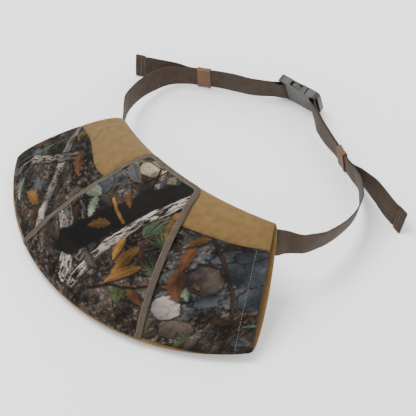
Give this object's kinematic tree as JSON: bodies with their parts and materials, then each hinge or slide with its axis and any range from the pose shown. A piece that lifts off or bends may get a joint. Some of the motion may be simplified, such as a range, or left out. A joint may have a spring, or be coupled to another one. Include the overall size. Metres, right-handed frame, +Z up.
{
  "type": "waist hand muff",
  "caption": "Padded camouflage hand muff, open at both ends, with a bound front pocket and a webbing waist belt closed by a side-release buckle.",
  "frame": {"origin": "centre of the bounding box at the base, on the surface that the part lies on", "axes": "+X towards the right-hand mouth as seen from the front, -Y out of the pocket side, +Z up"},
  "size_m": [0.446, 0.4434, 0.1105],
  "materials": {
    "camo_cloth": "brushed woven polyester printed in a woodland pattern",
    "tan_brushed_cloth": "brushed tan cloth, matte",
    "fleece_lining": "soft fleece",
    "wadding": "loose polyester fill",
    "grosgrain_tape": "ribbed tape",
    "webbing": "ribbed woven nylon",
    "elastic": "woven elastic",
    "buckle_plastic": "moulded acetal, satin"
  },
  "bodies": {
    "muff": {"front_shell": "camo_cloth", "back_panel": "tan_brushed_cloth", "left_yoke": "tan_brushed_cloth", "right_yoke": "tan_brushed_cloth", "front_lining": "fleece_lining", "back_lining": "fleece_lining", "front_batting": "wadding", "back_batting": "wadding", "pocket_panel": "camo_cloth", "pocket_binding_left": "grosgrain_tape", "pocket_binding_right": "grosgrain_tape", "pocket_binding_top": "grosgrain_tape", "left_strap": "webbing", "right_strap_run": "webbing", "right_strap_loop": "webbing", "right_strap_tail": "webbing", "buckle_socket": "buckle_plastic"},
    "plug": {"buckle_plug": "buckle_plastic"},
    "arm_upper": {"release_arm_upper": "buckle_plastic"},
    "arm_lower": {"release_arm_lower": "buckle_plastic"},
    "left_keeper": {"left_keeper": "elastic"},
    "right_keeper": {"right_keeper": "elastic"}
  },
  "joints": [
    {"name": "plug_slide", "type": "slide", "parent": "muff", "child": "plug", "axis": [0.9816, 0.1908, 0], "range_m": [0, 0.025], "deforming": ["right_strap_loop"]},
    {"name": "arm_upper_flex", "type": "hinge", "parent": "plug", "child": "arm_upper", "pos_m": [-0.02051, 0.20592, 0.03692], "axis": [0.1843, -0.9482, -0.2588], "range_deg": [0, 22]},
    {"name": "arm_lower_flex", "type": "hinge", "parent": "plug", "child": "arm_lower", "pos_m": [-0.02197, 0.21339, 0.00852], "axis": [-0.1843, 0.9482, 0.2588], "range_deg": [0, 22]},
    {"name": "left_keeper_slide", "type": "slide", "parent": "muff", "child": "left_keeper", "axis": [0.8059, 0.5921, 0], "range_m": [-0.006, 0.006]},
    {"name": "right_keeper_slide", "type": "slide", "parent": "muff", "child": "right_keeper", "axis": [-0.9519, 0.3065, 0], "range_m": [-0.006, 0.006]}
  ],
  "couplings": [
    {"joint": "arm_upper_flex", "follows": "plug_slide", "rad_per_m": 14.8},
    {"joint": "arm_lower_flex", "follows": "plug_slide", "rad_per_m": 14.8}
  ]
}
